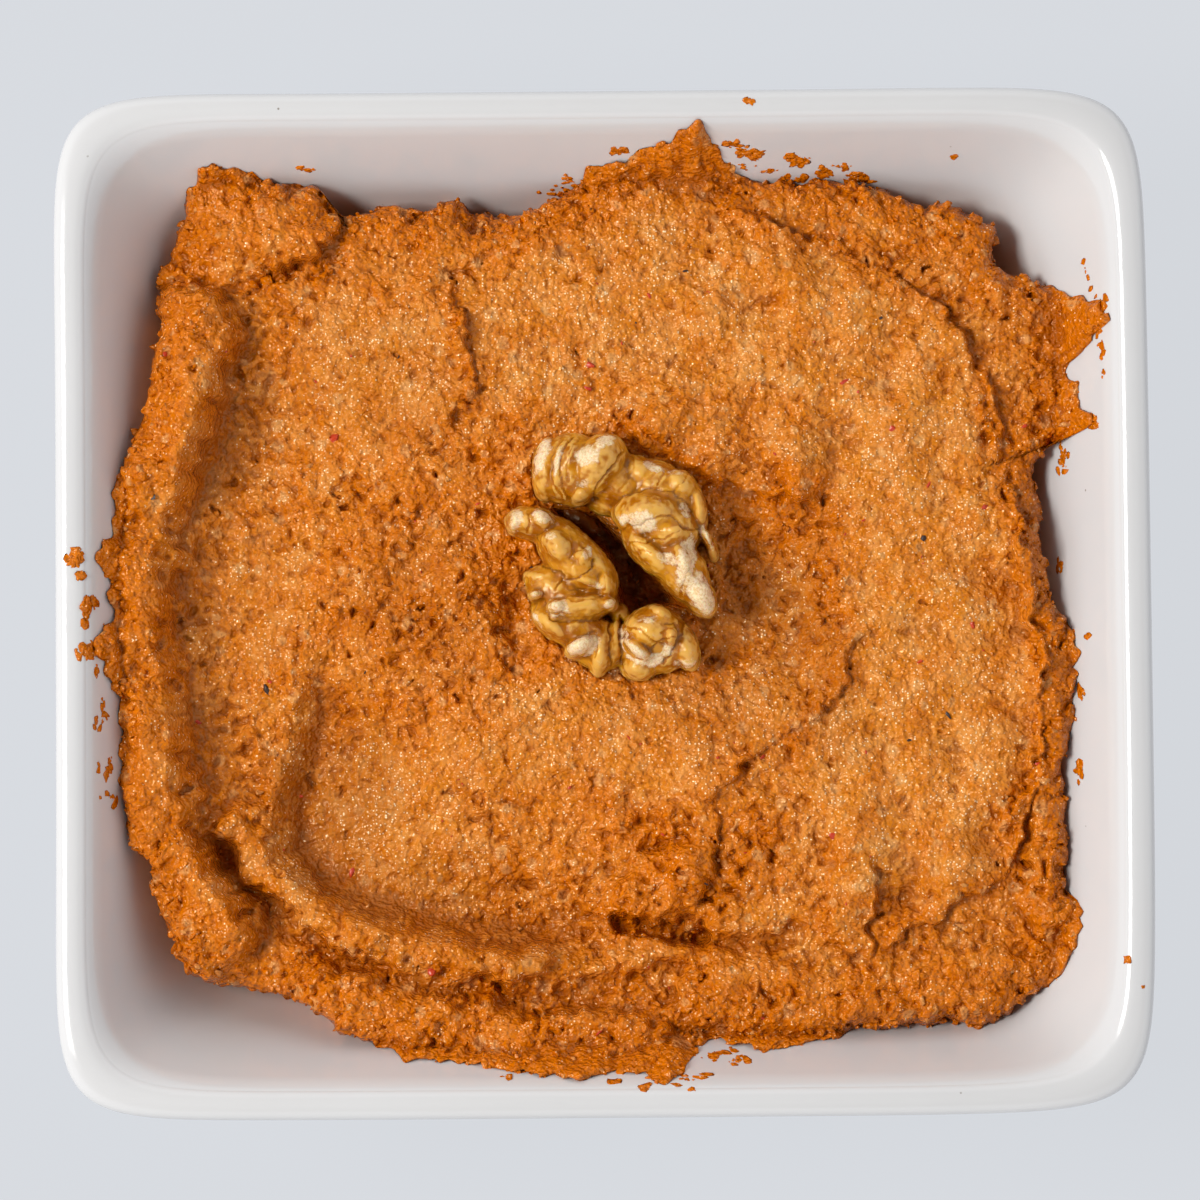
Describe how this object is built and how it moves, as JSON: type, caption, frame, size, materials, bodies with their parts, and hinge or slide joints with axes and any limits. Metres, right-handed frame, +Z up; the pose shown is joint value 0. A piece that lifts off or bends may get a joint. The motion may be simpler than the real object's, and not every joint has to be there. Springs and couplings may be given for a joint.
{
  "type": "bowl of walnut dip",
  "caption": "Square white glazed bowl filled with coarse orange walnut dip, spread and scooped, with half a walnut kernel pressed into the middle; it stands on its flat foot.",
  "frame": {"origin": "middle of the foot's underside, on the surface that the bowl stands on", "axes": "+Z up, +X along the bowl's longer side, +Y along its shorter side"},
  "size_m": [0.13, 0.122, 0.045],
  "materials": {
    "white_glaze": "glossy white glaze",
    "orange_dip": "coarse moist paste with an oily sheen",
    "walnut_skin": "thin amber skin with pale scuffs, slightly waxy"
  },
  "bodies": {
    "root": {"bowl": "white_glaze", "dip": "orange_dip", "walnut_half": "walnut_skin"}
  },
  "joints": []
}
